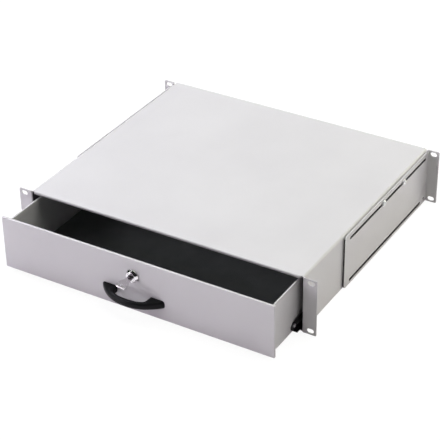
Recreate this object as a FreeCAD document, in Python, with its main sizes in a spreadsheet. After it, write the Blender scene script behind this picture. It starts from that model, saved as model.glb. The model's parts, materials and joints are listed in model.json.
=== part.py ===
import FreeCAD, Part
import Sketcher
import math, os, sys
from FreeCAD import Vector, Placement, Rotation

# Rack drawer, two height units, 19 inch pattern.
# X to the right, Y from the front to the back of the rack, Z up, millimetres.
# Origin: centre of the four front rack slots, on the front plane of the ears.
# The drawer is stored partly pulled out.

doc = FreeCAD.newDocument("rack_drawer")
sheet = doc.addObject("Spreadsheet::Sheet", "Sizes")


class Dim:
    """A length that knows its number and the cells it comes from."""

    def __init__(self, v, t):
        self.v, self.t = float(v), t

    def __add__(a, b):
        b = dim(b)
        return Dim(a.v + b.v, "(%s + %s)" % (a.t, b.t))

    def __sub__(a, b):
        b = dim(b)
        return Dim(a.v - b.v, "(%s - %s)" % (a.t, b.t))

    def __mul__(a, b):
        b = dim(b)
        return Dim(a.v * b.v, "(%s * %s)" % (a.t, b.t))

    def __truediv__(a, b):
        b = dim(b)
        return Dim(a.v / b.v, "(%s / %s)" % (a.t, b.t))

    def __radd__(a, b):
        return dim(b) + a

    def __rsub__(a, b):
        return dim(b) - a

    def __rmul__(a, b):
        return dim(b) * a

    def __neg__(a):
        return dim(0) - a


def dim(x):
    return x if isinstance(x, Dim) else Dim(x, "(%r)" % float(x))


cells = []


def size(alias, value):
    n = len(cells) + 1
    cells.append(alias)
    sheet.set("A%d" % n, alias)
    sheet.set("B%d" % n, str(value))
    sheet.setAlias("B%d" % n, alias)
    return Dim(value, "Sizes." + alias)


# ---------------------------------------------------------------- sizes
# rack standard
ear_out = size("ear_half_width", 241.3)
hole_x = size("rack_hole_half_x", 232.55)
hole_z = size("rack_hole_half_z", 38.1)
slot_l = size("rack_slot_length", 10.5)
slot_w = size("rack_slot_width", 6.8)
# housing
hw = size("housing_half_width", 221.0)
hh = size("housing_half_height", 44.0)
hd = size("housing_depth", 390.0)
st = size("housing_sheet", 1.2)
br = size("housing_bend_radius", 4.0)
er = size("ear_bend_radius", 2.0)
fl = size("bottom_flange_inner_x", 201.0)
hem_h = size("hem_height", 4.2)
hem_d = size("hem_depth", 10.0)
hem_x = size("hem_half_width", 215.5)
# rear panel and its cable opening
cut_w = size("cable_cut_half_width", 60.0)
cut_h = size("cable_cut_half_height", 20.0)
cut_z = size("cable_cut_z", -10.0)
cut_r = size("cable_cut_radius", 8.0)
grom = size("grommet_lip", 4.0)
# rear brackets
bx = size("bracket_inner_x", 222.3)
bt = size("bracket_sheet", 1.5)
bh = size("bracket_half_height", 43.7)
bpt = size("bracket_plate_top_z", 41.6)
by0 = size("bracket_front_y", 115.0)
by1 = size("bracket_rear_y", 389.5)
bsw = size("bracket_slot_width", 4.4)
bsu = size("bracket_upper_slot_z", 32.5)
bsl = size("bracket_lower_slot_z", -37.5)
tape = size("glide_tape_thickness", 0.3)
bolt1 = size("bracket_bolt_front_y", 236.0)
bolt2 = size("bracket_bolt_rear_y", 303.0)
# drawer
tw = size("tray_half_width", 211.0)
tt = size("tray_sheet", 1.2)
tz0 = size("tray_bottom_z", -41.2)
tz1 = size("tray_top_z", 34.5)
ty0 = size("tray_front_y", -71.1)
tl = size("tray_length", 370.0)
hem_t = size("tray_hem_height", 8.0)
pw = size("panel_half_width", 218.3)
pz0 = size("panel_bottom_z", -41.6)
pz1 = size("panel_top_z", 41.2)
pt = size("panel_sheet", 1.5)
pd = size("panel_return_depth", 3.2)
mat_t = size("mat_thickness", 2.0)
# slides
rz = size("rail_centre_z", -32.5)
rt = size("rail_sheet", 1.2)
rh = size("drawer_rail_half_height", 8.0)
rx = size("drawer_rail_outer_x", 217.8)
ry0 = size("drawer_rail_front_y", -15.0)
ry1 = size("drawer_rail_rear_y", 295.0)
gh = size("housing_rail_half_height", 3.6)
gx = size("housing_rail_inner_x", 213.2)
gy0 = size("housing_rail_front_y", 6.0)
gy1 = size("housing_rail_rear_y", 376.0)
ball_r = size("ball_radius", 1.5)
ball_z = size("ball_offset_z", 5.2)
ball_x = size("ball_centre_x", 215.3)
cg0 = size("cage_front_y", 100.0)
cgl = size("cage_length", 100.0)
cgt = size("cage_sheet", 0.8)
# lock
lz = size("lock_z", 15.0)
bez_r = size("lock_bezel_radius", 10.4)
bez_t = size("lock_bezel_height", 5.0)
bar_r = size("lock_barrel_radius", 8.0)
bar_y = size("lock_barrel_rear_y", -56.0)
plug_r = size("lock_plug_radius", 6.0)
cam_l = size("lock_cam_length", 25.0)
cam_t = size("lock_cam_thickness", 2.0)
key_tilt = size("key_tilt_degrees", 9.0)
key_t = size("key_thickness", 2.0)
key_w = size("key_blade_half_width", 4.0)
bow_w = size("key_bow_half_width", 8.0)
key_out = size("key_outer_y", -103.5)
# handle
hx = size("handle_half_length", 50.2)
hin = size("handle_inner_half_length", 26.5)
hp = size("handle_projection", 24.0)
hpi = size("handle_inner_projection", 16.0)
hir = size("handle_inner_corner_radius", 12.0)
hz0 = size("handle_bottom_z", -22.0)
hz1 = size("handle_top_z", -10.0)
hsx = size("handle_screw_half_x", 38.0)

nodes = []


def node(obj, label):
    obj.Label = label
    nodes.append(obj)
    return obj


def bind(obj, prop, d):
    obj.setExpression(prop, dim(d).t)


# ---------------------------------------------------------------- primitives
count = [0]


def fresh(stem):
    count[0] += 1
    return "%s_%03d" % (stem, count[0])


def box(x, y, z):
    b = doc.addObject("Part::Box", fresh("block"))
    for prop, axis, (lo, hi) in (("Length", "x", x), ("Width", "y", y), ("Height", "z", z)):
        bind(b, prop, dim(hi) - lo)
        bind(b, "Placement.Base." + axis, lo)
    return b


TURN = {"X": Rotation(Vector(0, 1, 0), 90), "Y": Rotation(Vector(1, 0, 0), -90), "Z": Rotation()}


def lay(obj, axis, lo, a, b):
    """Stand a round piece on its axis, starting at lo; a and b are the other two coordinates."""
    obj.Placement = Placement(Vector(), TURN[axis])
    others = [c for c in "XYZ" if c != axis]
    bind(obj, "Placement.Base." + axis.lower(), lo)
    bind(obj, "Placement.Base." + others[0].lower(), a)
    bind(obj, "Placement.Base." + others[1].lower(), b)


def rod(r, axis, lo, hi, a, b):
    c = doc.addObject("Part::Cylinder", fresh("rod"))
    bind(c, "Radius", r)
    bind(c, "Height", dim(hi) - lo)
    lay(c, axis, lo, a, b)
    return c


def taper(r1, r2, axis, lo, hi, a, b):
    c = doc.addObject("Part::Cone", fresh("taper"))
    bind(c, "Radius1", r1)
    bind(c, "Radius2", r2)
    bind(c, "Height", dim(hi) - lo)
    lay(c, axis, lo, a, b)
    return c


def hexagon(r, axis, lo, hi, a, b):
    c = doc.addObject("Part::Prism", fresh("hexagon"))
    c.Polygon = 6
    bind(c, "Circumradius", r)
    bind(c, "Height", dim(hi) - lo)
    lay(c, axis, lo, a, b)
    return c


def fuse(*shapes):
    f = doc.addObject("Part::MultiFuse", fresh("joined"))
    f.Shapes = list(shapes)
    f.Refine = True
    return f


def cut(base, tool):
    f = doc.addObject("Part::Cut", fresh("cut"))
    f.Base, f.Tool = base, tool
    return f


def group(label, pieces):
    g = doc.addObject("Part::Compound", fresh("group"))
    g.Links = list(pieces)
    return node(g, label)


def mirrored(source, label=None):
    m = doc.addObject("Part::Mirroring", fresh("mirrored"))
    m.Source = source
    m.Base = Vector(0, 0, 0)
    m.Normal = Vector(1, 0, 0)
    return node(m, label) if label else m


# ---------------------------------------------------------------- bodies and sketches
def body(name):
    return doc.addObject("PartDesign::Body", name)


def sketch(b, plane, offset=None):
    s = b.newObject("Sketcher::SketchObject", fresh("sketch"))
    origin = [f for f in b.Origin.OriginFeatures if f.Role == plane][0]
    s.AttachmentSupport = [(origin, "")]
    s.MapMode = "FlatFace"
    if offset is not None:
        bind(s, "AttachmentOffset.Base.z", offset)
    return s


def pin(s, geo, pos, x=None, y=None):
    """Fix a point of the sketch by its distances from the sketch's origin."""
    for kind, d in (("DistanceX", x), ("DistanceY", y)):
        if d is None:
            continue
        i = s.addConstraint(Sketcher.Constraint(kind, -1, 1, geo, pos, dim(d).v))
        s.setExpression("Constraints[%d]" % i, dim(d).t)


def line(s, a, b):
    g = s.addGeometry(Part.LineSegment(Vector(a[0].v, a[1].v, 0), Vector(b[0].v, b[1].v, 0)))
    pin(s, g, 1, *a)
    pin(s, g, 2, *b)
    return g


def arc(s, centre, start, end, lines):
    """Arc run anticlockwise from start to end, joined to the ends of two lines."""
    cx, cy = centre[0].v, centre[1].v
    r = math.hypot(start[0].v - cx, start[1].v - cy)
    a0 = math.atan2(start[1].v - cy, start[0].v - cx)
    a1 = math.atan2(end[1].v - cy, end[0].v - cx)
    if a1 <= a0:
        a1 += 2 * math.pi
    circle = Part.Circle(Vector(cx, cy, 0), Vector(0, 0, 1), r)
    g = s.addGeometry(Part.ArcOfCircle(circle, a0, a1))
    for pos, (lg, lpos) in zip((1, 2), lines):
        s.addConstraint(Sketcher.Constraint("Coincident", g, pos, lg, lpos))
    return g


def sign(x):
    return (x > 0) - (x < 0)


def outline(s, pts):
    """Closed outline of level and upright lines; a third value rounds that corner."""
    pts = [(dim(p[0]), dim(p[1]), dim(p[2]) if len(p) > 2 else None) for p in pts]
    n = len(pts)
    ends = []
    for i in range(n):
        p, q, o = pts[i], pts[(i + 1) % n], pts[i - 1]
        if p[2] is None:
            ends.append(((p[0], p[1]), (p[0], p[1])))
            continue
        ux, uy = sign(p[0].v - o[0].v), sign(p[1].v - o[1].v)
        if abs(p[0].v - o[0].v) < 1e-9:
            ux = 0
        if abs(p[1].v - o[1].v) < 1e-9:
            uy = 0
        vx, vy = sign(q[0].v - p[0].v), sign(q[1].v - p[1].v)
        if abs(q[0].v - p[0].v) < 1e-9:
            vx = 0
        if abs(q[1].v - p[1].v) < 1e-9:
            vy = 0
        ends.append(((p[0] - ux * p[2] if ux else p[0], p[1] - uy * p[2] if uy else p[1]),
                     (p[0] + vx * p[2] if vx else p[0], p[1] + vy * p[2] if vy else p[1])))
    made = [line(s, ends[i][1], ends[(i + 1) % n][0]) for i in range(n)]
    for i in range(n):
        if pts[i][2] is None:
            continue
        a, b = ends[i]
        p = pts[i]
        cx = a[0] + b[0] - p[0]
        cy = a[1] + b[1] - p[1]
        turn = (p[0].v - a[0].v) * (b[1].v - p[1].v) - (p[1].v - a[1].v) * (b[0].v - p[0].v)
        if turn > 0:
            g = arc(s, (cx, cy), a, b, ((made[i - 1], 2), (made[i], 1)))
        else:
            g = arc(s, (cx, cy), b, a, ((made[i], 1), (made[i - 1], 2)))
        pin(s, g, 3, x=cx)


def block(s, x0, x1, y0, y1, r=None):
    c = [(x0, y0), (x1, y0), (x1, y1), (x0, y1)]
    outline(s, [(a, b, r) if r is not None else (a, b) for a, b in c])


def ring(s, x, y, r):
    g = s.addGeometry(Part.Circle(Vector(dim(x).v, dim(y).v, 0), Vector(0, 0, 1), dim(r).v))
    pin(s, g, 3, x, y)
    i = s.addConstraint(Sketcher.Constraint("Radius", g, dim(r).v))
    s.setExpression("Constraints[%d]" % i, dim(r).t)


def slot(s, x0, x1, y, w):
    """Round-ended slot along the sketch's first axis, from end to end."""
    x0, x1, y, r = dim(x0), dim(x1), dim(y), dim(w) / 2
    low = line(s, (x0 + r, y - r), (x1 - r, y - r))
    top = line(s, (x1 - r, y + r), (x0 + r, y + r))
    g = arc(s, (x1 - r, y), (x1 - r, y - r), (x1 - r, y + r), ((low, 2), (top, 1)))
    pin(s, g, 3, x=x1 - r)
    g = arc(s, (x0 + r, y), (x0 + r, y + r), (x0 + r, y - r), ((top, 2), (low, 1)))
    pin(s, g, 3, x=x0 + r)


def pad(b, s, length, back=False, both=False):
    f = b.newObject("PartDesign::Pad", fresh("pad"))
    f.Profile = s
    bind(f, "Length", length)
    f.Reversed = back
    f.Midplane = both
    doc.recompute()
    return f


def pocket(b, s, length, back=False, both=False):
    before = b.Shape.Volume
    f = b.newObject("PartDesign::Pocket", fresh("pocket"))
    f.Profile = s
    bind(f, "Length", length)
    f.Reversed = back
    f.Midplane = both
    doc.recompute()
    if not b.Shape.Volume < before - 1e-3:
        sys.exit("%s: %s cuts nothing" % (b.Name, f.Name))
    return f


def fillet(b, r, pick):
    """Round the edges of the body that pick accepts; pick gets both ends of an edge."""
    tip = b.Tip
    names = []
    for i, e in enumerate(tip.Shape.Edges):
        ends = [v.Point for v in e.Vertexes]
        if len(ends) == 2 and pick(ends[0], ends[1]):
            names.append("Edge%d" % (i + 1))
    if not names:
        sys.exit("%s: no edge to round" % b.Name)
    f = b.newObject("PartDesign::Fillet", fresh("fillet"))
    f.Base = (tip, names)
    bind(f, "Radius", r)
    doc.recompute()
    return f


def near(a, b):
    return abs(a - dim(b).v) < 0.02


def prism(label, plane, offset, length, draw, back=False, both=False):
    """One padded outline as a body of its own."""
    b = body(label)
    s = sketch(b, plane, offset)
    draw(s)
    pad(b, s, length, back, both)
    return node(b, label)


# ---------------------------------------------------------------- housing shell
# Inverted channel of folded sheet: top, two sides and inturned bottom flanges,
# ears bent outward at the front, a rolled hem along the top's front edge.
shell = body("housing_shell")
s = sketch(shell, "XZ_Plane", -er)
iw, ih = hw - st, hh - st
outline(s, [(-fl, -hh), (-fl, -ih), (-iw, -ih, 0.8), (-iw, ih, br - st), (iw, ih, br - st), (iw, -ih, 0.8),
            (fl, -ih), (fl, -hh), (hw, -hh, er), (hw, hh, br), (-hw, hh, br), (-hw, -hh, er)])
pad(shell, s, hd - er, back=True)
for side in (1, -1):
    s = sketch(shell, "XY_Plane", -hh)
    x = [side * iw, side * ear_out, side * hw]
    outline(s, [(x[0], er + 0.3), (x[0], 0, er), (x[1], 0), (x[1], st), (x[2], st, er - st), (x[2], er + 0.3)])
    pad(shell, s, hh * 2)
s = sketch(shell, "YZ_Plane", -hem_x)
low = hh - hem_h
nose = hem_h / 2 - 0.05
outline(s, [(er + 2, hh), (0, hh, nose), (0, low, nose), (hem_d, low), (hem_d, low + st),
            (st, low + st, nose - st), (st, hh - st, nose - st), (er + 2, hh - st)])
pad(shell, s, hem_x * 2)
fillet(shell, 1.5, lambda a, b: near(abs(a.x), ear_out) and near(abs(b.x), ear_out) and near(a.z, b.z)
       and near(abs(a.z), hh) and not near(a.y, b.y))
s = sketch(shell, "XZ_Plane")
for sx in (1, -1):
    for sz in (1, -1):
        slot(s, sx * hole_x - slot_l / 2, sx * hole_x + slot_l / 2, sz * hole_z, slot_w)
pocket(shell, s, 10, both=True)
s = sketch(shell, "YZ_Plane")
for y in (bolt1, bolt2):
    ring(s, y, bsu, 3.55)
for z in (22, -22):
    ring(s, hd - 7.2, z, 1.65)
pocket(shell, s, hw * 2 + 10, both=True)
node(shell, "housing_shell")

# ---------------------------------------------------------------- rear panel, grommet, rivets
rear = body("rear_panel")
s = sketch(rear, "XZ_Plane", -hd)
block(s, 0.1 - iw, iw - 0.1, 0.15 - ih, ih - 0.15, br - st + 0.2)
block(s, -cut_w, cut_w, cut_z - cut_h, cut_z + cut_h, cut_r)
pad(rear, s, st)
for side in (1, -1):
    s = sketch(rear, "XY_Plane", -32)
    a, c = side * (iw - 0.1), side * (iw - 0.1 - st)
    outline(s, [(a, hd - st / 2), (a, hd - 14), (c, hd - 14), (c, hd - st / 2)])
    pad(rear, s, 64)
s = sketch(rear, "YZ_Plane")
for z in (22, -22):
    ring(s, hd - 7.2, z, 1.65)
pocket(rear, s, hw * 2, both=True)
node(rear, "rear_panel")

g = body("cable_grommet")
for y0, y1, grow in ((hd - st - 1.2, hd - st, 3.0), (hd - st, hd, -0.05), (hd, hd + 1.2, 3.0)):
    s = sketch(g, "XZ_Plane", -y1)
    block(s, -cut_w - grow, cut_w + grow, cut_z - cut_h - grow, cut_z + cut_h + grow, cut_r + grow)
    block(s, -cut_w + grom, cut_w - grom, cut_z - cut_h + grom, cut_z + cut_h - grom, cut_r - grom)
    pad(g, s, y1 - y0)
node(g, "cable_grommet")

rivets = []
for z in (22, -22):
    y = hd - 7.2
    r = fuse(rod(1.6, "X", iw - st - 1.2, hw + 0.2, y, z), taper(3.2, 2.2, "X", hw, hw + 0.8, y, z),
             rod(2.4, "X", iw - st - 1.6, iw - st - 0.1, y, z))
    rivets += [r, mirrored(r)]
group("rear_panel_rivets", rivets)

# ---------------------------------------------------------------- rear mounting brackets
right = body("right_rear_bracket")
s = sketch(right, "XY_Plane", -bh)
outline(s, [(bx, by0), (bx + bt, by0), (bx + bt, by1 - bt, 1.0), (ear_out, by1 - bt), (ear_out, by1),
            (bx, by1, bt + 1.0)])
pad(right, s, bh * 2)
s = sketch(right, "YZ_Plane", bx - 2)
outline(s, [(by0 - 2, bpt), (by1 - 5.5, bpt, 1.2), (by1 - 5.5, bh + 2), (by0 - 2, bh + 2)])
pocket(right, s, 10, back=True)
fillet(right, 6.0, lambda a, b: near(a.y, by0) and near(b.y, by0) and near(a.z, b.z))
fillet(right, 2.0, lambda a, b: near(a.x, ear_out) and near(b.x, ear_out) and near(a.z, b.z))
s = sketch(right, "YZ_Plane", bx - 2)
slot(s, 130, 380, bsu, bsw)
slot(s, 131, 368, bsl, bsw)
ring(s, 380, -36, 1.75)
pocket(right, s, 10, back=True)
s = sketch(right, "XZ_Plane", 5 - by1)
for sz in (1, -1):
    slot(s, hole_x - slot_l / 2, hole_x + slot_l / 2, sz * hole_z, slot_w)
pocket(right, s, 12)
node(right, "right_rear_bracket")
mirrored(right, "left_rear_bracket")

spacers, bolts, washers, nuts = [], [], [], []
for y in (bolt1, bolt2):
    z = bsu
    p = cut(rod(5.0, "X", hw, bx - 0.1, y, z), rod(2.15, "X", hw - 1, bx + 1, y, z))
    spacers += [p, mirrored(p)]
    o = bx + bt + 0.1
    p = cut(rod(5.0, "X", o, o + 0.6, y, z), rod(2.2, "X", o - 1, o + 2, y, z))
    washers += [p, mirrored(p)]
    head = fuse(rod(2.0, "X", 214.0, o + 1.5, y, z), rod(4.0, "X", o + 0.6, o + 1.7, y, z),
                taper(4.0, 2.9, "X", o + 1.7, o + 2.4, y, z))
    cross = fuse(box((o + 1.2, o + 4), (y - 0.45, y + 0.45), (z - 2.1, z + 2.1)),
                 box((o + 1.2, o + 4), (y - 2.1, y + 2.1), (z - 0.45, z + 0.45)))
    p = cut(head, cross)
    bolts += [p, mirrored(p)]
    p = cut(fuse(rod(4.6, "X", 215.0, iw, y, z), rod(3.5, "X", iw - 0.2, hw, y, z)),
            rod(2.05, "X", 213.0, hw + 1, y, z))
    nuts += [p, mirrored(p)]
group("bracket_spacers", spacers)
group("bracket_washers", washers)
group("bracket_bolts", bolts)
group("rivet_nuts", nuts)

# thin black glide tape on the housing's sides behind the bracket slots, open round the spacers
tapes = []
for z, runs in ((bsu, ((127, bolt1 - 6.5), (bolt1 + 6.5, bolt2 - 6.5), (bolt2 + 6.5, 383))), (bsl, ((127, 372),))):
    for y0, y1 in runs:
        p = box((hw, hw + tape), (y0, y1), (z - 3.6, z + 3.6))
        tapes += [p, mirrored(p)]
group("glide_tapes", tapes)

# ---------------------------------------------------------------- lock strike under the top
strike = fuse(box((-20, 20), (hem_d + 1, hem_d + 22), (ih - st, ih)),
              box((-20, 20), (hem_d + 1, hem_d + 1 + st), (35.5, ih)))
node(strike, "lock_strike")

# ---------------------------------------------------------------- slides
rail = body("right_drawer_rail")
s = sketch(rail, "XZ_Plane", -ry0)
outline(s, [(tw, rz - rh, 1.5), (rx, rz - rh), (rx, rz - rh + rt), (tw + rt, rz - rh + rt, 0.4),
            (tw + rt, rz + rh - rt, 0.4), (rx, rz + rh - rt), (rx, rz + rh), (tw, rz + rh, 1.5)])
pad(rail, s, ry1 - ry0, back=True)
s = sketch(rail, "YZ_Plane", tw - 1)
for k in (1, -1):
    z = rz + k * rh
    a = (ry0 - 1, z + k * 0.5)
    c = (ry0 + 6.5, z + k * 0.5)
    e = (ry0 - 1, z - k * 7.0)
    p = [(dim(u), dim(v)) for u, v in ((a, c, e) if k < 0 else (a, e, c))]
    for i in range(3):
        line(s, p[i], p[(i + 1) % 3])
pocket(rail, s, 12, back=True)
s = sketch(rail, "YZ_Plane", tw - 1)
rivet_y = (ry0 + 9, (ry0 + ry1) / 2, ry1 - 12)
for y in rivet_y:
    ring(s, y, rz, 2.05)
pocket(rail, s, 4, back=True)
node(rail, "right_drawer_rail")
mirrored(rail, "left_drawer_rail")

rivets = []
for y in rivet_y:
    x = tw + rt
    r = fuse(rod(2.0, "X", tw - tt - 0.8, x + 0.2, y, rz), taper(3.4, 2.2, "X", x, x + 0.8, y, rz),
             rod(3.1, "X", tw - tt - 1.0, tw - tt, y, rz))
    rivets += [r, mirrored(r)]
group("drawer_rail_rivets", rivets)

fixed = prism("right_housing_rail", "XZ_Plane", -gy0, gy1 - gy0,
              lambda s: outline(s, [(iw, rz - gh, 1.0), (iw, rz + gh, 1.0), (gx, rz + gh), (gx, rz + gh - rt),
                                    (iw - rt, rz + gh - rt), (iw - rt, rz - gh + rt), (gx, rz - gh + rt),
                                    (gx, rz - gh)]), back=True)
mirrored(fixed, "left_housing_rail")

strips, balls = [], []
for k in (1, -1):
    c = body("cage_strip_%d" % (1 if k > 0 else 2))
    s = sketch(c, "XY_Plane", rz + k * ball_z - cgt / 2)
    block(s, ball_x - 1.9, ball_x + 1.9, cg0, cg0 + cgl, 0.8)
    for i in range(5):
        ring(s, ball_x, cg0 + 10 + i * 20, ball_r + 0.1)
    pad(c, s, cgt)
    strips.append(c)
    for i in range(5):
        b = doc.addObject("Part::Sphere", fresh("ball"))
        bind(b, "Radius", ball_r)
        bind(b, "Placement.Base.x", ball_x)
        bind(b, "Placement.Base.y", cg0 + 10 + i * 20)
        bind(b, "Placement.Base.z", rz + k * ball_z)
        balls.append(b)
cage = group("right_ball_cage", strips)
set_r = group("right_balls", balls)
mirrored(cage, "left_ball_cage")
mirrored(set_r, "left_balls")

# ---------------------------------------------------------------- drawer tray
studs = [(x, z) for x in (185, 95, -95, -185) for z in (22, -24)]
tray = body("drawer_tray")
s = sketch(tray, "XY_Plane", tz0)
block(s, -tw, tw, ty0, ty0 + tl, 1.5)
pad(tray, s, tz1 - tz0)
fillet(tray, 2.0, lambda a, b: near(a.z, tz0) and near(b.z, tz0))
s = sketch(tray, "XY_Plane", tz0 + tt)
block(s, -tw + tt, tw - tt, ty0 + tt, ty0 + tl - tt, 0.5)
pocket(tray, s, tz1 - tz0, back=True)
s = sketch(tray, "XY_Plane", tz1 - hem_t)
for side in (1, -1):
    a, c = side * (tw - tt - tt), side * (tw - tt / 2)
    outline(s, [(a, ty0 + 3), (c, ty0 + 3), (c, ty0 + tl - 3), (a, ty0 + tl - 3)])
pad(tray, s, hem_t)
fillet(tray, 0.9, lambda a, b: near(a.z, tz1) and near(b.z, tz1) and near(a.x, b.x)
       and (near(abs(a.x), tw) or near(abs(a.x), tw - tt * 2)))
s = sketch(tray, "XZ_Plane", 5 - ty0)
ring(s, 0, lz, bar_r + 0.2)
for sx in (1, -1):
    ring(s, sx * hsx, -16, 2.2)
for x, z in studs:
    ring(s, x, z, 2.3)
pocket(tray, s, 10)
s = sketch(tray, "XZ_Plane", 5 - ty0 - tl)
outline(s, [(-30, tz1 - 18, 5), (30, tz1 - 18, 5), (30, tz1 + 3), (-30, tz1 + 3)])
pocket(tray, s, 10)
s = sketch(tray, "YZ_Plane")
for y in rivet_y:
    ring(s, y, rz, 2.05)
pocket(tray, s, tw * 2 + 10, both=True)
node(tray, "drawer_tray")

prism("drawer_mat", "XY_Plane", tz0 + tt, mat_t,
      lambda s: block(s, -tw + tt + 0.6, tw - tt - 0.6, ty0 + tt + 0.6, ty0 + tl - tt - 0.6, 3.0))

# ---------------------------------------------------------------- front panel
panel = body("front_panel")
face = ty0 - pt
s = sketch(panel, "XZ_Plane", -face)
block(s, -pw, pw, pz0, pz1, 1.6)
pad(panel, s, pd, back=True)
fillet(panel, 1.2, lambda a, b: near(a.y, face) and near(b.y, face))
s = sketch(panel, "XZ_Plane", -face - pd)
block(s, -pw + pt, pw - pt, pz0 - 5, pz1 - pt)
pocket(panel, s, pd - pt, back=True)
s = sketch(panel, "XZ_Plane", -face + 2)
ring(s, 0, lz, bar_r + 0.2)
for sx in (1, -1):
    ring(s, sx * hsx, -16, 2.2)
pocket(panel, s, 6.0)
node(panel, "front_panel")

group("weld_studs", [rod(2.0, "Y", ty0, ty0 + 8, x, z) for x, z in studs])

nuts = []
for x, z in studs:
    y = ty0 + tt
    nuts.append(cut(hexagon(4.04, "Y", y, y + 3.2, x, z), rod(2.05, "Y", y - 1, y + 5, x, z)))
group("panel_nuts", nuts)

# ---------------------------------------------------------------- pull handle
handle = body("pull_handle")
s = sketch(handle, "XY_Plane", hz0)
feet = [line(s, (-hx, face), (-hin, face)), line(s, (hin, face), (hx, face))]
bow_r = (hx * hx + hp * hp) / (2 * hp)
bow_y = face - hp + bow_r
g = arc(s, (dim(0), bow_y), (-hx, face), (hx, face), ((feet[0], 1), (feet[1], 2)))
pin(s, g, 3, y=bow_y)
deep, bend = face - hpi, face - hpi + hir
cheeks = [line(s, (-hin, face), (-hin, bend)), line(s, (hin, face), (hin, bend))]
grip = line(s, (hir - hin, deep), (hin - hir, deep))
g = arc(s, (hir - hin, bend), (-hin, bend), (hir - hin, deep), ((cheeks[0], 2), (grip, 1)))
pin(s, g, 3, x=hir - hin)
g = arc(s, (hin - hir, bend), (hin - hir, deep), (hin, bend), ((grip, 2), (cheeks[1], 2)))
pin(s, g, 3, x=hin - hir)
pad(handle, s, hz1 - hz0)
fillet(handle, 3.0, lambda a, b: near(a.z, b.z) and abs(a.x - b.x) > 60)
fillet(handle, 2.0, lambda a, b: near(a.z, b.z) and 25 < abs(a.x - b.x) < 40)
s = sketch(handle, "XZ_Plane", -face)
for sx in (1, -1):
    ring(s, sx * hsx, -16, 2.05)
pocket(handle, s, 8.0, back=True)
node(handle, "pull_handle")

screws = []
for sx in (1, -1):
    x, y = sx * hsx, ty0 + tt
    p = fuse(rod(2.0, "Y", face - 7.0, y + 1, x, -16), rod(4.0, "Y", y, y + 1.6, x, -16),
             taper(4.0, 2.8, "Y", y + 1.6, y + 2.6, x, -16))
    cross = fuse(box((x - 2.1, x + 2.1), (y + 1.2, y + 4), (-16.45, -15.55)),
                 box((x - 0.45, x + 0.45), (y + 1.2, y + 4), (-18.1, -13.9)))
    screws.append(cut(p, cross))
group("handle_screws", screws)

# ---------------------------------------------------------------- cam lock and key
bezel = fuse(taper(7.4, 7.9, "Y", face - bez_t, face - bez_t + 0.5, 0, lz),
             taper(7.9, bez_r, "Y", face - bez_t + 0.5, face - 1.6, 0, lz),
             rod(bez_r, "Y", face - 1.6, face, 0, lz),
             rod(bar_r, "Y", face - 0.5, bar_y, 0, lz))
node(cut(bezel, rod(plug_r + 0.05, "Y", face - bez_t - 2, bar_y + 2, 0, lz)), "lock_body")
y = ty0 + tt
node(cut(hexagon(12.0, "Y", y, y + 3.5, 0, lz), rod(bar_r + 0.1, "Y", y - 1, y + 6, 0, lz)), "lock_nut")

cam_y = bar_y + 1.0
plug_y = face - bez_t + 0.3
way = box((-key_w - 0.2, key_w + 0.2), (plug_y - 1, bar_y - 3), (-key_t / 2 - 0.2, key_t / 2 + 1.4))
core = cut(rod(plug_r, "Y", plug_y, cam_y, 0, 0), way)
core.Placement = Placement(Vector(), Rotation(Vector(0, 1, 0), key_tilt.v))
bind(core, "Placement.Base.z", lz)
bind(core, "Placement.Rotation.Angle", key_tilt)
boss = box((-3.2, 3.2), (cam_y - 1, cam_y + cam_t), (lz - 3.2, lz + 3.2))
node(cut(fuse(core, boss), rod(2.05, "Y", cam_y - 1.8, cam_y + 6, 0, lz)), "lock_plug")

cam = body("lock_cam")
s = sketch(cam, "XZ_Plane", -cam_y)
block(s, -8.5, cam_l, -7, 7, 3.0)
block(s, -3.3, 3.3, -3.3, 3.3)
pad(cam, s, cam_t, back=True)
bind(cam, "Placement.Base.z", lz)
node(cam, "lock_cam")

y = cam_y + cam_t
p = fuse(rod(2.0, "Y", cam_y - 1.2, y + 1, 0, lz), rod(4.6, "Y", y + 0.05, y + 1.6, 0, lz),
         taper(4.6, 3.4, "Y", y + 1.6, y + 2.4, 0, lz))
cross = fuse(box((-2.3, 2.3), (y + 1.2, y + 4), (lz - 0.5, lz + 0.5)),
             box((-0.5, 0.5), (y + 1.2, y + 4), (lz - 2.3, lz + 2.3)))
node(cut(p, cross), "cam_screw")

key = body("key")
s = sketch(key, "XY_Plane", -key_t / 2)
outline(s, [(-key_w, bar_y - 5, 1.5), (-key_w, key_out + 12, 1.5), (-bow_w, key_out + 12, 2.0),
            (-bow_w, key_out, 2.5), (bow_w, key_out, 2.5), (bow_w, key_out + 12, 2.0),
            (key_w, key_out + 12, 1.5), (key_w, bar_y - 5, 1.5)])
slot(s, -3.0, 3.0, key_out + 4.2, 3.2)
pad(key, s, key_t)
key.Placement = Placement(Vector(), Rotation(Vector(0, 1, 0), key_tilt.v))
bind(key, "Placement.Base.z", lz)
bind(key, "Placement.Rotation.Angle", key_tilt)
node(key, "key")

# ---------------------------------------------------------------- checks and files
doc.recompute()
faults = []
for o in doc.Objects:
    if any(w in o.State for w in ("Invalid", "Error")):
        faults.append("%s %s" % (o.Name, o.State))
for n in nodes:
    sh = n.Shape
    if sh.isNull() or not sh.isValid() or not sh.Solids:
        faults.append("%s has no valid shape" % n.Label)
if faults:
    sys.exit("\n".join(faults))
os.makedirs("parts", exist_ok=True)
for n in nodes:
    n.Shape.exportStep("parts/%s.step" % n.Label)
    bb = n.Shape.BoundBox
    print("%-22s %2d solid(s)  X %7.2f %7.2f  Y %7.2f %7.2f  Z %6.2f %6.2f  %9.1f mm3" % (
        n.Label, len(n.Shape.Solids), bb.XMin, bb.XMax, bb.YMin, bb.YMax, bb.ZMin, bb.ZMax, n.Shape.Volume))
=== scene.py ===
import bpy
import bmesh
import json
import math
from mathutils import Matrix, Vector


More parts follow.
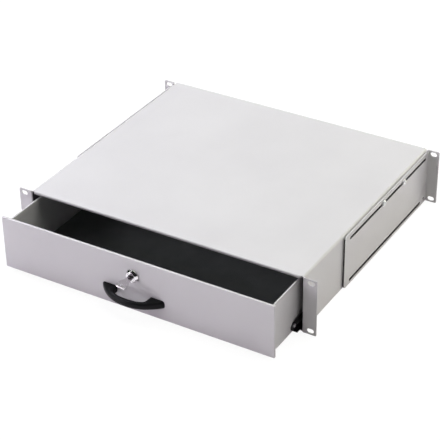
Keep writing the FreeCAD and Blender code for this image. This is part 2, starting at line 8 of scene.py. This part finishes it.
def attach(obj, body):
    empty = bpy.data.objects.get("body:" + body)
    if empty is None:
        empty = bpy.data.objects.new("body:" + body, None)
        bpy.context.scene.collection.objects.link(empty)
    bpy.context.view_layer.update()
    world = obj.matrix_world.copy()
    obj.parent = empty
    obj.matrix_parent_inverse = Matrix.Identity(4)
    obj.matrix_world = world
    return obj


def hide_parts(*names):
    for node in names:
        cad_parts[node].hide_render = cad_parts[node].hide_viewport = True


# Looks of a rack drawer with a folded sheet-steel housing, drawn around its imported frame. Metres.

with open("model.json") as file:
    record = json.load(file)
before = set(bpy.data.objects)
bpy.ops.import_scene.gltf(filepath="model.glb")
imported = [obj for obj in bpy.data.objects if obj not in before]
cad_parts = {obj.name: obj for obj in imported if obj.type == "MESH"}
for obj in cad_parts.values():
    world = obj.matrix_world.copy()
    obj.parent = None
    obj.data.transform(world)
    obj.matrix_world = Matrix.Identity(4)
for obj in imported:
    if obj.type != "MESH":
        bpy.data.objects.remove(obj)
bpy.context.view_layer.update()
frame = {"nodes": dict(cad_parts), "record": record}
scene = bpy.context.scene
nodes = frame["nodes"]
body_of_node = {n: b for b, members in frame["record"]["behaviour"]["bodies"].items() for n in members}
MM = 0.001


# ---------------------------------------------------------------- camera
def camera():
    a, e, r = math.radians(31.2375), math.radians(32.2693), math.radians(-0.8622)
    back = Vector((math.sin(a) * math.cos(e), -math.cos(a) * math.cos(e), math.sin(e)))
    right = Vector((math.cos(a), math.sin(a), 0))
    up = back.cross(right)
    x = right * math.cos(r) + up * math.sin(r)
    y = up * math.cos(r) - right * math.sin(r)
    cam = bpy.data.cameras.new("camera")
    cam.lens = 125.225
    cam.sensor_width = 36.0
    cam.clip_start, cam.clip_end = 0.05, 100.0
    ob = bpy.data.objects.new("camera", cam)
    scene.collection.objects.link(ob)
    m = Matrix((x, y, back)).transposed().to_4x4()
    m.translation = Vector((0.982687, -1.463999, 1.174671))
    ob.matrix_world = m
    scene.camera = ob


camera()


# ---------------------------------------------------------------- materials
class Look:
    """A material and short ways to add nodes to it."""

    def __init__(self, name):
        self.mat = bpy.data.materials.new(name)
        self.mat.use_nodes = True
        self.tree = self.mat.node_tree
        self.tree.nodes.clear()
        self.out = self.tree.nodes.new("ShaderNodeOutputMaterial")
        self.shader = self.tree.nodes.new("ShaderNodeBsdfPrincipled")
        self.tree.links.new(self.shader.outputs["BSDF"], self.out.inputs["Surface"])
        self.coord = self.tree.nodes.new("ShaderNodeTexCoord").outputs["Object"]

    def set(self, **sockets):
        for k, v in sockets.items():
            self.shader.inputs[k.replace("_", " ")].default_value = v
        return self

    def feed(self, node, socket, value):
        if hasattr(value, "is_output"):
            self.tree.links.new(value, node.inputs[socket])
        else:
            node.inputs[socket].default_value = value

    def stretch(self, x, y, z, turn=(0, 0, 0)):
        n = self.tree.nodes.new("ShaderNodeMapping")
        self.tree.links.new(self.coord, n.inputs["Vector"])
        n.inputs["Rotation"].default_value = turn
        n.inputs["Scale"].default_value = (x, y, z)
        return n.outputs["Vector"]

    def noise(self, scale, detail=2.0, rough=0.5, vector=None):
        n = self.tree.nodes.new("ShaderNodeTexNoise")
        self.tree.links.new(vector or self.coord, n.inputs["Vector"])
        n.inputs["Scale"].default_value = scale
        n.inputs["Detail"].default_value = detail
        n.inputs["Roughness"].default_value = rough
        return n.outputs["Fac"]

    def cells(self, scale, feature="F1", vector=None, output="Distance"):
        n = self.tree.nodes.new("ShaderNodeTexVoronoi")
        n.feature = feature
        self.tree.links.new(vector or self.coord, n.inputs["Vector"])
        n.inputs["Scale"].default_value = scale
        return n.outputs[output]

    def span(self, value, lo, hi, a=0.0, b=1.0):
        n = self.tree.nodes.new("ShaderNodeMapRange")
        self.feed(n, "Value", value)
        n.inputs["From Min"].default_value = a
        n.inputs["From Max"].default_value = b
        n.inputs["To Min"].default_value = lo
        n.inputs["To Max"].default_value = hi
        return n.outputs["Result"]

    def math(self, how, a, b):
        n = self.tree.nodes.new("ShaderNodeMath")
        n.operation = how
        self.feed(n, 0, a)
        self.feed(n, 1, b)
        return n.outputs["Value"]

    def mix(self, fac, a, b, how="MIX"):
        n = self.tree.nodes.new("ShaderNodeMix")
        n.data_type = "RGBA"
        n.blend_type = how
        self.feed(n, "Factor", fac)
        for i, v in ((6, a), (7, b)):
            if hasattr(v, "is_output"):
                self.tree.links.new(v, n.inputs[i])
            else:
                n.inputs[i].default_value = (*v, 1.0)
        return n.outputs[2]

    def face(self, name):
        n = self.tree.nodes.new("ShaderNodeAttribute")
        n.attribute_name = name
        return n.outputs["Fac"]

    def bump(self, height, strength, distance, under=None):
        n = self.tree.nodes.new("ShaderNodeBump")
        n.inputs["Strength"].default_value = strength
        n.inputs["Distance"].default_value = distance
        self.tree.links.new(height, n.inputs["Height"])
        if under is not None:
            self.tree.links.new(under, n.inputs["Normal"])
        return n.outputs["Normal"]

    def use(self, colour=None, roughness=None, normal=None):
        for name, v in (("Base Color", colour), ("Roughness", roughness), ("Normal", normal)):
            if v is not None:
                self.tree.links.new(v, self.shader.inputs[name])
        return self.mat


def powder_coat():
    m = Look("powder_coat").set(Specular_IOR_Level=0.5, Coat_Weight=0.12, Coat_Roughness=0.22)
    cloud = m.noise(9.0, 3.0, 0.55)
    peel = m.noise(950.0, 2.0, 0.55)
    grit = m.noise(3800.0, 1.0, 0.5)
    c = m.mix(m.span(cloud, 0.0, 1.0, 0.3, 0.7), (0.450, 0.444, 0.449), (0.478, 0.472, 0.475))
    c = m.mix(m.span(grit, 0.0, 0.10, 0.35, 0.75), c, (0.31, 0.305, 0.31))
    # edges lighter and glossier: partly a thinner coat on the edges, partly a painted highlight along them
    thin_coat_and_edge_highlight = m.math("MULTIPLY", m.face("edge"), m.span(m.noise(160.0, 3.0), 0.1, 0.75, 0.35, 0.7))
    c = m.mix(thin_coat_and_edge_highlight, c, (0.55, 0.546, 0.55))
    # painted shade: faces marked inside go near-black (the housing's inner faces, part of the hem nose's front, the
    # bracket's back and slot walls)
    c = m.mix(m.face("inside"), c, m.mix(m.noise(45.0, 4.0), (0.030, 0.029, 0.030), (0.060, 0.058, 0.060)))
    # painted shadow: the bracket's front edge goes near-black for the shadow in the gap beside it
    c = m.mix(m.face("cut"), c, m.mix(m.noise(60.0, 3.0), (0.004, 0.004, 0.004), (0.011, 0.0105, 0.011)))
    rough = m.math("SUBTRACT", m.span(peel, 0.34, 0.50, 0.3, 0.7), m.math("MULTIPLY", thin_coat_and_edge_highlight, 0.10))
    n = m.bump(peel, 0.22, 0.00012)
    n = m.bump(grit, 0.10, 0.00004, n)
    return m.use(c, rough, n)


def plastic_black():
    m = Look("plastic_black").set(Specular_IOR_Level=0.11)
    grain = m.cells(1500.0, "SMOOTH_F1")
    fine = m.noise(5200.0, 2.0)
    c = m.mix(m.noise(40.0, 4.0), (0.0030, 0.0030, 0.0036), (0.0060, 0.0060, 0.0070))
    rough = m.span(m.noise(70.0, 3.0), 0.30, 0.46, 0.3, 0.7)
    n = m.bump(grain, 0.14, 0.00006)
    n = m.bump(fine, 0.10, 0.00003, n)
    return m.use(c, rough, n)


def rubber_black():
    m = Look("rubber_black").set(Specular_IOR_Level=0.25)
    pebble = m.cells(620.0, "SMOOTH_F1")
    dust = m.noise(30.0, 5.0, 0.65)
    c = m.mix(m.span(dust, 0.0, 1.0, 0.35, 0.75), (0.150, 0.160, 0.157), (0.185, 0.196, 0.193))
    c = m.mix(m.face("dusty"), m.mix(dust, (0.012, 0.012, 0.012), (0.030, 0.030, 0.030)), c)
    rough = m.span(m.noise(240.0, 2.0), 0.72, 0.92, 0.3, 0.7)
    n = m.bump(pebble, 0.55, 0.00045)
    return m.use(c, rough, n)


def rail_black():
    m = Look("rail_black").set(Specular_IOR_Level=0.55, Metallic=0.35)
    c = m.mix(m.noise(60.0, 4.0), (0.010, 0.010, 0.011), (0.022, 0.022, 0.024))
    # edges lighter: partly a thinner coat on the edges, partly a painted highlight along them
    thin_coat_and_edge_highlight = m.math("MULTIPLY", m.face("edge"), m.span(m.noise(220.0, 3.0), 0.0, 0.6, 0.4, 0.7))
    c = m.mix(thin_coat_and_edge_highlight, c, (0.10, 0.10, 0.105))
    drawn = m.noise(900.0, 2.0, 0.5, m.stretch(1.0, 0.02, 1.0))
    rough = m.span(drawn, 0.28, 0.44, 0.3, 0.7)
    n = m.bump(drawn, 0.12, 0.00005)
    return m.use(c, rough, n)


def zinc_steel():
    m = Look("zinc_steel").set(Metallic=0.88)
    spangle = m.cells(380.0, "F1", output="Color")
    c = m.mix(m.noise(120.0, 3.0), (0.70, 0.705, 0.71), (0.78, 0.785, 0.795))
    c = m.mix(0.06, c, spangle)
    rough = m.span(m.noise(700.0, 3.0), 0.36, 0.52, 0.3, 0.7)
    n = m.bump(m.noise(1500.0, 2.0), 0.12, 0.00004)
    return m.use(c, rough, n)


def chrome_bright():
    m = Look("chrome_bright").set(Metallic=1.0)
    c = m.mix(m.noise(300.0, 3.0), (0.66, 0.655, 0.65), (0.71, 0.705, 0.70))
    rough = m.span(m.noise(900.0, 4.0, 0.6), 0.12, 0.19, 0.3, 0.75)
    n = m.bump(m.noise(420.0, 1.0), 0.03, 0.00005)
    return m.use(c, rough, n)


def key_nickel():
    m = Look("key_nickel").set(Metallic=1.0)
    grain = m.noise(2600.0, 3.0, 0.6, m.stretch(1.0, 0.04, 1.0))
    c = m.mix(m.noise(160.0, 4.0), (0.655, 0.64, 0.645), (0.735, 0.72, 0.725))
    rough = m.span(grain, 0.10, 0.18, 0.3, 0.7)
    n = m.bump(grain, 0.07, 0.00005)
    return m.use(c, rough, n)


looks = {f.__name__: f() for f in (powder_coat, plastic_black, rubber_black, rail_black, zinc_steel, chrome_bright,
                                   key_nickel)}


# ---------------------------------------------------------------- meshes
def piece(name, bm, slot, node, weighted=True):
    """Turns a bmesh into a piece that stands for a CAD node and takes its finish from a slot."""
    bmesh.ops.recalc_face_normals(bm, faces=bm.faces)
    me = bpy.data.meshes.new(name)
    bm.to_mesh(me)
    bm.free()
    me.polygons.foreach_set("use_smooth", [True] * len(me.polygons))
    me.materials.append(looks[slot])
    ob = bpy.data.objects.new(name, me)
    scene.collection.objects.link(ob)
    if weighted:
        w = ob.modifiers.new("flat faces", "WEIGHTED_NORMAL")
        w.weight = 80
        w.keep_sharp = True
    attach(ob, body_of_node[node])
    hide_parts(node)
    return ob


def edge_layer(bm):
    return bm.faces.layers.float.get("edge") or bm.faces.layers.float.new("edge")


def soften(bm, width, segments=2, limit=30.0, keep=None):
    """Rounds every edge sharper than the limit and marks the faces that this makes."""
    layer = edge_layer(bm)
    sharp = [e for e in bm.edges if len(e.link_faces) == 2 and e.calc_face_angle(0.0) > math.radians(limit)
             and (keep is None or keep(e))]
    if not sharp:
        return
    made = bmesh.ops.bevel(bm, geom=sharp, offset=width, offset_type="OFFSET", segments=segments, profile=0.5,
                           affect="EDGES", clamp_overlap=True, loop_slide=True)
    for f in made["faces"]:
        f[layer] = 1.0


def copied(node):
    """The CAD solid's mesh with its flat faces joined up."""
    bm = bmesh.new()
    bm.from_mesh(nodes[node].data)
    bmesh.ops.remove_doubles(bm, verts=bm.verts, dist=3e-6)
    bmesh.ops.dissolve_degenerate(bm, dist=1e-6, edges=bm.edges)
    bmesh.ops.dissolve_limit(bm, angle_limit=math.radians(0.4), verts=bm.verts, edges=bm.edges,
                             use_dissolve_boundaries=False)
    return bm


def mark(bm, name, test):
    """Marks faces by a test, which gets a face's middle in mm and its normal and says how much, from 0 to 1."""
    layer = bm.faces.layers.float.new(name)
    bm.normal_update()
    for f in bm.faces:
        f[layer] = float(test(f.calc_center_median() / MM, f.normal))


# painted shade: the housing's inner side faces and bottom ledge behind the front go near-black, and the front of the
# hem nose partly
def housing_painted_shade(c, n):
    side = abs(abs(c.x) - 219.8) < 0.3 and n.x * c.x < 0 and abs(n.x) > 0.7
    ledge = abs(c.z + 42.8) < 0.3 and n.z > 0.7
    # painted shade on the front of the hem nose, stronger the more the face points forward
    if c.y < 4.0 and c.z > 38.5 and abs(c.x) < 219.5:
        return 0.42 * math.sqrt(max(0.0, -n.y))
    return c.y > 3.0 and (side or ledge)


# painted shade: the bracket's back below 37 mm and its slot walls go near-black, so the slots read dark
def bracket_painted_shade(c, n):
    back = abs(abs(c.x) - 222.3) < 0.2 and n.x * c.x < 0 and c.z < 37
    slot = abs(n.x) < 0.5 and 128 < c.y < 382 and (abs(c.z - 32.5) < 2.4 or abs(c.z + 37.5) < 2.4)
    return back or slot


# painted shadow: the bracket's front edge faces go near-black, standing in for the shadow in the gap beside the housing
def bracket_edge_painted_shadow(c, n):
    return c.y < 115.6 and n.y < -0.3


# painted shade: darkened faces on the housing's inside and the front of its hem nose, on the bracket's back and slot
# walls; painted shadow: the bracket's near-black front edge; and the mat's dusty rubber
BRACKET = [("inside", bracket_painted_shade), ("cut", bracket_edge_painted_shadow)]
MARKS = {"housing_shell": [("inside", housing_painted_shade)], "left_rear_bracket": BRACKET, "right_rear_bracket": BRACKET,
         "drawer_mat": [("dusty", lambda c, n: True)]}


def folded(node, slot, width, segments=2, limit=30.0):
    bm = copied(node)
    edge_layer(bm)
    if width:
        soften(bm, width * MM, segments, limit)
    if MARKS.get(node) is BRACKET:      # the painted shade on the bracket's back stops at 37 mm, so a strip along its top keeps the coat colour
        bmesh.ops.bisect_plane(bm, geom=bm.verts[:] + bm.edges[:] + bm.faces[:], plane_co=(0, 0, 37 * MM), plane_no=(0, 0, 1))
    for name, test in MARKS.get(node, []):
        mark(bm, name, test)
    return piece(node + "_skin", bm, slot, node)


SHEET = [
    ("housing_shell", "powder_coat", 0.30, 2), ("rear_panel", "powder_coat", 0.25, 2),
    ("left_rear_bracket", "powder_coat", 0.30, 2), ("right_rear_bracket", "powder_coat", 0.30, 2),
    ("drawer_tray", "powder_coat", 0.25, 2), ("front_panel", "powder_coat", 0.30, 2),
    ("lock_strike", "zinc_steel", 0.20, 2),
    ("left_housing_rail", "rail_black", 0.20, 2), ("right_housing_rail", "rail_black", 0.20, 2),
    ("left_drawer_rail", "rail_black", 0.20, 2), ("right_drawer_rail", "rail_black", 0.20, 2),
    ("left_ball_cage", "zinc_steel", 0.12, 1), ("right_ball_cage", "zinc_steel", 0.12, 1),
    ("cable_grommet", "rubber_black", 0.35, 3), ("drawer_mat", "rubber_black", 0.50, 3),
    ("rear_panel_rivets", "zinc_steel", 0.20, 2), ("drawer_rail_rivets", "zinc_steel", 0.20, 2),
    # the glide tapes are near-black strips behind the bracket slots, put there so the shade seen through the slots
    # reads black
    ("glide_tapes", "rubber_black", 0.08, 1), ("bracket_spacers", "zinc_steel", 0.15, 2),
    ("bracket_washers", "zinc_steel", 0.12, 2), ("bracket_bolts", "zinc_steel", 0.40, 3),
    ("rivet_nuts", "zinc_steel", 0.15, 2),
    ("weld_studs", "zinc_steel", 0.20, 2), ("panel_nuts", "zinc_steel", 0.25, 2),
    ("handle_screws", "zinc_steel", 0.15, 2), ("lock_nut", "zinc_steel", 0.30, 2),
    ("lock_cam", "zinc_steel", 0.20, 2), ("cam_screw", "zinc_steel", 0.15, 2),
    ("lock_plug", "chrome_bright", 0.18, 2),
]
for name, slot, width, segments in SHEET:
    folded(name, slot, width, segments)
for name in ("left_balls", "right_balls"):
    nodes[name].data.materials.clear()
    nodes[name].data.materials.append(looks["zinc_steel"])

# ---------------------------------------------------------------- handle, lock and key
def rounded(points, n=5):
    """Outline with its corners rounded: points are (x, y, radius)."""
    out = []
    for i, (x, y, r) in enumerate(points):
        p = Vector((x, y))
        if not r:
            out.append(p)
            continue
        a = (Vector(points[i - 1][:2]) - p).normalized()
        b = (Vector(points[(i + 1) % len(points)][:2]) - p).normalized()
        half = math.acos(max(-1.0, min(1.0, a.dot(b)))) / 2
        c = p + (a + b).normalized() * (r / math.sin(half))
        s, e = p + a * (r / math.tan(half)) - c, p + b * (r / math.tan(half)) - c
        for k in range(n + 1):
            out.append(c + s.slerp(e, k / n).normalized() * r)
    return out


def loop_of(bm, points, place, w):
    vs = [bm.verts.new(place((p.x, p.y, w))) for p in points]
    return vs, [bm.edges.new((vs[i], vs[(i + 1) % len(vs)])) for i in range(len(vs))]


def wall(bm, a, b):
    for i in range(len(a)):
        j = (i + 1) % len(a)
        bm.faces.new((a[i], a[j], b[j], b[i]))


def turned(profile, n=72):
    """Solid of revolution about the lock's line; the profile is a closed run of (radius, y)."""
    bm = bmesh.new()
    rings = []
    for r, y in profile:
        rings.append([bm.verts.new((r * MM * math.cos(2 * math.pi * i / n), y * MM,
                                    15 * MM + r * MM * math.sin(2 * math.pi * i / n))) for i in range(n)])
    for k in range(len(rings)):
        wall(bm, rings[k], rings[(k + 1) % len(rings)])
    return bm


def bow_handle():
    """Moulded bow: tall feet on the panel, and a lower rounded bar between them."""
    bm = bmesh.new()
    edge_layer(bm)
    face, half, depth, inner, clear = -72.6, 50.2, 24.0, 26.5, 16.0
    radius = (half * half + depth * depth) / (2 * depth)
    turn = math.asin(half / radius)
    power = 2 / 2.9
    run = [Vector((inner * math.sin(k * math.pi / 600) ** power, face - clear * max(0.0, math.cos(k * math.pi / 600)) ** power))
           for k in range(301)]
    along = [0.0]
    for a, b in zip(run, run[1:]):
        along.append(along[-1] + (b - a).length)

    def inside(s):
        want = (1 - (1 - abs(s)) ** 1.6) * along[-1]
        k = next(i for i in range(1, 301) if along[i] >= want - 1e-9)
        f = (want - along[k - 1]) / (along[k] - along[k - 1])
        p = run[k - 1].lerp(run[k], f)
        return Vector((math.copysign(p.x, s), p.y))

    stations, steps = 96, 6
    rings = []
    for i in range(stations + 1):
        s = -1 + 2 * i / stations
        o = Vector((radius * math.sin(turn * s), face - depth + radius - radius * math.cos(turn * s)))
        p = inside(s) if s else Vector((0.0, face - clear))
        w, d = (o - p).length, (o - p).normalized()
        foot = max(0.0, min(1.0, (abs(s) - 0.50) / 0.24))
        foot = foot * foot * (3 - 2 * foot)
        low, high = -22.0, -11.5 + 1.7 * foot
        ro, ri = 4.0 + 0.3 * foot, 2.6 + 1.0 * foot
        ring = []
        for u, z, r, a0 in ((0, low, ri, 180), (w, low, ro, 270), (w, high, ro, 0), (0, high, ri, 90)):
            cu = u + r if u == 0 else u - r
            cz = z + r if z == low else z - r
            for k in range(steps + 1):
                a = math.radians(a0 + 90 * k / steps)
                q = p + d * (cu + r * math.cos(a))
                ring.append(bm.verts.new((q.x * MM, q.y * MM, (cz + r * math.sin(a)) * MM)))
        rings.append(ring)
    for a, b in zip(rings, rings[1:]):
        wall(bm, a, b)
    for ring in (rings[0], rings[-1]):
        for e in bm.faces.new(ring).edges:
            e.smooth = False
    return piece("pull_handle_bow", bm, "plastic_black", "pull_handle", weighted=False)


def lock_barrel():
    """Chromed bezel with a bright cone, and the threaded barrel behind it."""
    thread = []
    y = -71.6
    while y < -57.4:
        thread += [(7.5, y), (7.95, y + 0.35), (7.95, y + 0.5), (7.5, y + 0.85)]
        y += 0.95
    profile = ([(6.06, -77.2), (6.4, -77.55), (6.7, -77.6), (7.15, -77.6), (7.45, -77.52), (7.72, -77.3), (7.9, -77.05),
                (8.6, -76.3), (9.5, -75.25), (10.05, -74.6), (10.28, -74.25), (10.38, -73.95), (10.4, -73.6),
                (10.4, -72.9), (10.3, -72.65), (10.1, -72.6), (7.9, -72.6), (7.5, -72.4)]
               + thread + [(7.5, -56.6), (7.2, -56.1), (6.9, -56.0), (6.06, -56.0)])
    bm = turned(profile)
    edge_layer(bm)
    return piece("lock_barrel", bm, "chrome_bright", "lock_body")


def flat_key():
    """Flat key: a bow with a hole, and a blade with a groove on each side and cuts along one edge."""
    bm = bmesh.new()
    edge_layer(bm)
    lean = Matrix.Rotation(math.radians(9), 3, "Y")

    def place(p):
        return lean @ (Vector(p) * MM) + Vector((0, 0, 15 * MM))

    cuts = []
    for c, d in ((-74.2, 1.1), (-70.8, 1.5), (-67.4, 0.9), (-64.0, 1.2)):
        cuts += [(-3.95, c - d - 0.4, 0), (-3.95 + d, c - 0.4, 0), (-3.95 + d, c + 0.4, 0), (-3.95, c + d + 0.4, 0)]
    shape = rounded([(3.95, -62.6, 0.8), (3.95, -85.6, 2.0), (7.4, -93.2, 2.5), (7.4, -103.5, 2.2), (-7.4, -103.5, 2.2),
                     (-7.4, -93.2, 2.5), (-3.95, -85.6, 2.0)] + cuts + [(-3.1, -61.3, 0.5), (1.6, -61.0, 1.0)])
    hole = [Vector((1.5 * math.cos(k * math.pi / 12), -100.4 + 1.5 * math.sin(k * math.pi / 12))) for k in range(24)]
    groove = rounded([(1.9, -61.8, 0), (1.9, -83.0, 0.6), (0.5, -83.0, 0.6), (0.5, -61.8, 0)], 3)
    sides = []
    for w in (-1.0, 1.0):
        vo, eo = loop_of(bm, shape, place, w)
        vh, eh = loop_of(bm, hole, place, w)
        vg, eg = loop_of(bm, groove, place, w)
        bmesh.ops.triangle_fill(bm, edges=eo + eh + eg, use_beauty=True)
        vf, ef = loop_of(bm, groove, place, w * 0.45)
        wall(bm, vg, vf)
        bm.faces.new(vf)
        sides.append((vo, vh))
    wall(bm, sides[0][0], sides[1][0])
    wall(bm, sides[0][1], sides[1][1])
    bmesh.ops.recalc_face_normals(bm, faces=bm.faces)
    bmesh.ops.dissolve_limit(bm, angle_limit=math.radians(0.5), verts=bm.verts, edges=bm.edges,
                             use_dissolve_boundaries=False)
    soften(bm, 0.11 * MM, 2, 40.0)
    return piece("key_cut", bm, "key_nickel", "key")


bow_handle()
lock_barrel()
flat_key()

# ---------------------------------------------------------------- floor and light
def plane(name, z, size):
    me = bpy.data.meshes.new(name)
    s = size / 2
    me.from_pydata([(-s, -s, z), (s, -s, z), (s, s, z), (-s, s, z)], [], [(0, 1, 2, 3)])
    ob = bpy.data.objects.new(name, me)
    scene.collection.objects.link(ob)
    return ob


def matt(name, value, glow, tint=(1, 1, 1)):
    m = Look(name).set(Specular_IOR_Level=0.0, Roughness=1.0, Emission_Color=(*tint, 1), Emission_Strength=glow)
    c = m.mix(m.noise(3.0, 2.0), (value * 0.99,) * 3, (value,) * 3)
    m.use(c)
    return m


def pale_floor():
    """Pale glowing floor, with the glow faded out under the housing as painted shade."""
    m = matt("floor_pale", 0.10, 0.92)
    xyz = m.tree.nodes.new("ShaderNodeSeparateXYZ")
    m.tree.links.new(m.coord, xyz.inputs["Vector"])
    x = m.math("ABSOLUTE", xyz.outputs["X"], 0.0)
    y = m.math("ABSOLUTE", m.math("SUBTRACT", xyz.outputs["Y"], 0.205), 0.0)
    # painted shade: the glow fades out over the housing's footprint, so the floor under it stays dark
    clear = m.math("MAXIMUM", m.span(x, 0.0, 1.0, 0.185, 0.222), m.span(y, 0.0, 1.0, 0.150, 0.187))
    m.tree.links.new(m.span(clear, 0.02, 0.92), m.shader.inputs["Emission Strength"])
    return m.mat


def backdrop(name, radius, top):
    """Pale wall round the floor."""
    me = bpy.data.meshes.new(name)
    ring = [(radius * math.cos(k * math.pi / 36), radius * math.sin(k * math.pi / 36)) for k in range(72)]
    me.from_pydata([(x, y, z) for z in (-0.0442, top) for x, y in ring], [],
                   [(k, (k + 1) % 72, 72 + (k + 1) % 72, 72 + k) for k in range(72)])
    ob = bpy.data.objects.new(name, me)
    scene.collection.objects.link(ob)
    return ob


floor = plane("floor", -0.0442, 40.0)
floor.data.materials.append(pale_floor())
wall_round = backdrop("backdrop", 19.0, 14.0)
wall_round.data.materials.append(matt("backdrop_pale", 0.10, 0.98).mat)
for ob in (floor, wall_round):
    ob.visible_diffuse = ob.visible_glossy = ob.visible_transmission = ob.visible_shadow = False
bounce = plane("floor_bounce", -0.0446, 40.0)
bounce.data.materials.append(matt("floor_bounce", 0.80, 0.126, (0.97, 0.66, 1.0)).mat)
bounce.visible_camera = False


def softbox(name, at, to, w, h, power, colour=(1, 1, 1)):
    d = bpy.data.lights.new(name, "AREA")
    d.shape = "RECTANGLE"
    d.size, d.size_y = w, h
    d.energy = power
    d.color = colour
    ob = bpy.data.objects.new(name, d)
    scene.collection.objects.link(ob)
    ob.location = at
    ob.rotation_euler = (Vector(to) - Vector(at)).to_track_quat("-Z", "Y").to_euler()
    ob.visible_camera = False
    return ob


def around(name, turn, height, power, colour=(1, 1, 1), size=1.1, far=2.4):
    """A softbox that stands round the object: turn from the front to the right, height above the floor, degrees."""
    mid = Vector((0.0, 0.15, 0.0))
    a, e = math.radians(turn), math.radians(height)
    at = mid + far * Vector((math.sin(a) * math.cos(e), -math.cos(a) * math.cos(e), math.sin(e)))
    return softbox(name, at, mid, size, size, power, colour)


around("light_left", -105, 46, 41.0, (0.86, 0.82, 1.0), 1.2)
around("light_left_back", -112, 58, 11.4, (0.90, 0.95, 1.0), 1.2)
around("light_back", 150, 74, 13.2, (0.92, 1.0, 0.92), 1.4)
around("light_right_top", 115, 66, 25.0, (1.0, 0.89, 0.88), 2.0)
around("light_top", 90, 82, 21.4, (0.85, 1.0, 0.82), 2.0)
around("light_right_low", 145, 25, 10.5, (0.99, 0.99, 1.0), 1.6)
around("light_right_graze", 160, 15, 23.2, (1.0, 0.97, 0.73), 1.4)
around("light_front_left", -45, 20, 21.8, (0.96, 0.98, 1.0))
around("light_front", -27, 18, 8.4, (0.97, 0.72, 1.0))
around("light_card", -46, 52, 1.6, (1.0, 1.0, 1.0), 0.7)
around("light_card_back", -157, 44, 1.6, (1.0, 0.97, 1.0))

world = bpy.data.worlds.new("studio")
world.use_nodes = True
bg = world.node_tree.nodes["Background"]
bg.inputs["Color"].default_value = (1.0, 1.0, 1.0, 1.0)
bg.inputs["Strength"].default_value = 0.02
scene.world = world
scene.view_settings.view_transform = "Standard"
scene.view_settings.look = "None"
